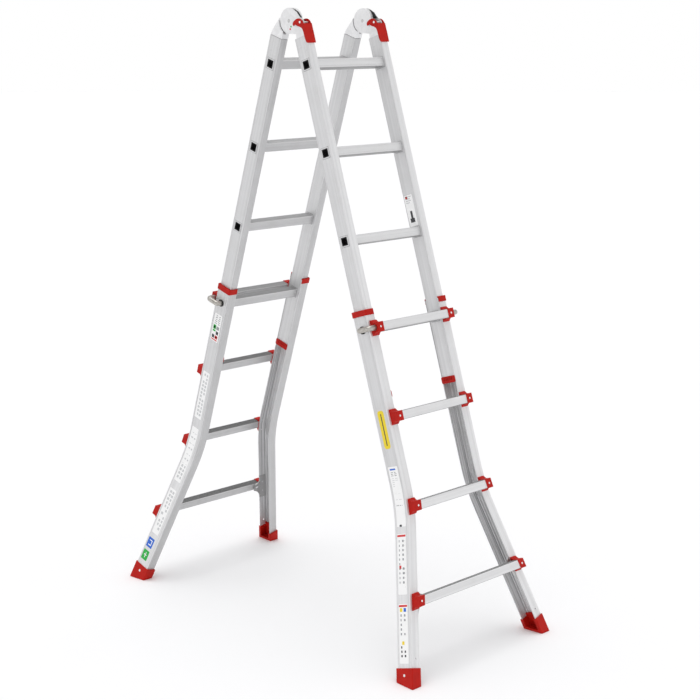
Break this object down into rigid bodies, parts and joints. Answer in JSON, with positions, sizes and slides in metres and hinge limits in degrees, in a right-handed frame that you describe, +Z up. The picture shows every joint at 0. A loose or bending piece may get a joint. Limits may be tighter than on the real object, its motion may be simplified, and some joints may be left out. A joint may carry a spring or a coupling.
{
  "type": "multi position ladder",
  "caption": "Hinged telescopic ladder standing as a stepladder, with flared outer frames, lock hooks, red levers, brackets and shoes.",
  "frame": {"origin": "on the floor, at the middle of the four feet's footprint, under the hinge axis", "axes": "+Z up, X along the rungs, Y along the spread: the frame with the red levers is on -Y, the other on +Y"},
  "size_m": [0.6636, 1.3902, 2.0021],
  "materials": {
    "inner_aluminium": "extruded, natural satin",
    "outer_aluminium": "extruded, natural satin",
    "rung_aluminium": "extruded, natural satin, grooved tread",
    "cast_metal": "die-cast, light satin",
    "hinge_metal": "light silver coated pressed steel",
    "zinc_steel": "zinc plated",
    "hook_metal": "bare drawn bar, warm grey",
    "rivet": "bright rivet",
    "red_plastic": "moulded, fine texture",
    "black_plastic": "moulded, dull"
  },
  "bodies": {
    "front_inner_frame": {"front_inner_stile_left": "inner_aluminium", "front_inner_stile_right": "inner_aluminium", "front_inner_rung_1": "rung_aluminium", "front_inner_rung_2": "rung_aluminium", "front_inner_rung_3": "rung_aluminium", "front_inner_rung_4": "rung_aluminium", "front_inner_rung_sockets": "black_plastic", "front_inner_end_plugs": "red_plastic", "front_hinge_rivets": "rivet", "hinge_front_plates": "hinge_metal", "hinge_front_spacers": "cast_metal", "hinge_pivot_pins": "zinc_steel", "lever_pins": "rivet"},
    "front_outer_frame": {"front_outer_stile_left": "outer_aluminium", "front_outer_stile_right": "outer_aluminium", "front_outer_rung_1": "rung_aluminium", "front_outer_rung_2": "rung_aluminium", "front_outer_rung_3": "rung_aluminium", "front_outer_rung_4": "rung_aluminium", "front_shoes": "red_plastic", "front_rung_brackets": "red_plastic", "front_gussets": "zinc_steel", "front_outer_rivets": "rivet", "front_collars": "red_plastic", "front_hook_bushes": "black_plastic", "front_lock_spring_left": "zinc_steel", "front_lock_spring_right": "zinc_steel"},
    "front_lock_hook_left": {"front_lock_hook_left": "hook_metal"},
    "front_lock_hook_right": {"front_lock_hook_right": "hook_metal"},
    "rear_inner_frame": {"rear_inner_stile_left": "inner_aluminium", "rear_inner_stile_right": "inner_aluminium", "rear_inner_rung_1": "rung_aluminium", "rear_inner_rung_2": "rung_aluminium", "rear_inner_rung_3": "rung_aluminium", "rear_inner_rung_4": "rung_aluminium", "rear_inner_rung_sockets": "black_plastic", "rear_inner_end_plugs": "red_plastic", "rear_hinge_rivets": "rivet", "hinge_rear_arms": "hinge_metal", "hinge_rear_shells": "cast_metal"},
    "rear_outer_frame": {"rear_outer_stile_left": "outer_aluminium", "rear_outer_stile_right": "outer_aluminium", "rear_outer_rung_1": "rung_aluminium", "rear_outer_rung_2": "rung_aluminium", "rear_outer_rung_3": "rung_aluminium", "rear_outer_rung_4": "rung_aluminium", "rear_shoes": "red_plastic", "rear_rung_brackets": "red_plastic", "rear_gussets": "zinc_steel", "rear_outer_rivets": "rivet", "rear_collars": "red_plastic", "rear_hook_bushes": "black_plastic", "rear_lock_spring_left": "zinc_steel", "rear_lock_spring_right": "zinc_steel"},
    "rear_lock_hook_left": {"rear_lock_hook_left": "hook_metal"},
    "rear_lock_hook_right": {"rear_lock_hook_right": "hook_metal"},
    "release_lever_left": {"lever_left": "red_plastic"},
    "lock_bolt_left": {"lock_bolt_left": "zinc_steel"},
    "release_lever_right": {"lever_right": "red_plastic"},
    "lock_bolt_right": {"lock_bolt_right": "zinc_steel"}
  },
  "joints": [
    {"name": "fold", "type": "hinge", "parent": "front_inner_frame", "child": "rear_inner_frame", "pos_m": [0, 0, 1.9626], "axis": [1, 0, 0], "range_deg": [-35, 145]},
    {"name": "front_extension", "type": "slide", "parent": "front_inner_frame", "child": "front_outer_frame", "axis": [0, 0.3007, 0.9537], "range_m": [0, 0.84]},
    {"name": "front_lock_hook_left_pull", "type": "slide", "parent": "front_outer_frame", "child": "front_lock_hook_left", "axis": [-1, 0, 0], "range_m": [0, 0.024], "stiffness_N_per_m": 600, "springref_m": -0.015, "deforming": ["front_lock_spring_left"]},
    {"name": "front_lock_hook_right_pull", "type": "slide", "parent": "front_outer_frame", "child": "front_lock_hook_right", "axis": [1, 0, 0], "range_m": [0, 0.024], "stiffness_N_per_m": 600, "springref_m": -0.015, "deforming": ["front_lock_spring_right"]},
    {"name": "rear_extension", "type": "slide", "parent": "rear_inner_frame", "child": "rear_outer_frame", "axis": [0, -0.3007, 0.9537], "range_m": [0, 0.84]},
    {"name": "rear_lock_hook_left_pull", "type": "slide", "parent": "rear_outer_frame", "child": "rear_lock_hook_left", "axis": [-1, 0, 0], "range_m": [0, 0.024], "stiffness_N_per_m": 600, "springref_m": -0.015, "deforming": ["rear_lock_spring_left"]},
    {"name": "rear_lock_hook_right_pull", "type": "slide", "parent": "rear_outer_frame", "child": "rear_lock_hook_right", "axis": [1, 0, 0], "range_m": [0, 0.024], "stiffness_N_per_m": 600, "springref_m": -0.015, "deforming": ["rear_lock_spring_right"]},
    {"name": "lever_left_swing", "type": "hinge", "parent": "front_inner_frame", "child": "release_lever_left", "pos_m": [-0.164, -0.05892, 1.95863], "axis": [-1, 0, 0], "range_deg": [0, 30], "stiffness_Nm_per_rad": 0.6, "springref_deg": -17.19},
    {"name": "lock_bolt_left_lift", "type": "slide", "parent": "front_inner_frame", "child": "lock_bolt_left", "axis": [0, -0.9938, -0.1109], "range_m": [0, 0.0058]},
    {"name": "lever_right_swing", "type": "hinge", "parent": "front_inner_frame", "child": "release_lever_right", "pos_m": [0.164, -0.05892, 1.95863], "axis": [-1, 0, 0], "range_deg": [0, 30], "stiffness_Nm_per_rad": 0.6, "springref_deg": -17.19},
    {"name": "lock_bolt_right_lift", "type": "slide", "parent": "front_inner_frame", "child": "lock_bolt_right", "axis": [0, -0.9938, -0.1109], "range_m": [0, 0.0058]}
  ],
  "couplings": [
    {"joint": "lock_bolt_left_lift", "follows": "lever_left_swing", "m_per_rad": 0.011},
    {"joint": "lock_bolt_right_lift", "follows": "lever_right_swing", "m_per_rad": 0.011}
  ]
}
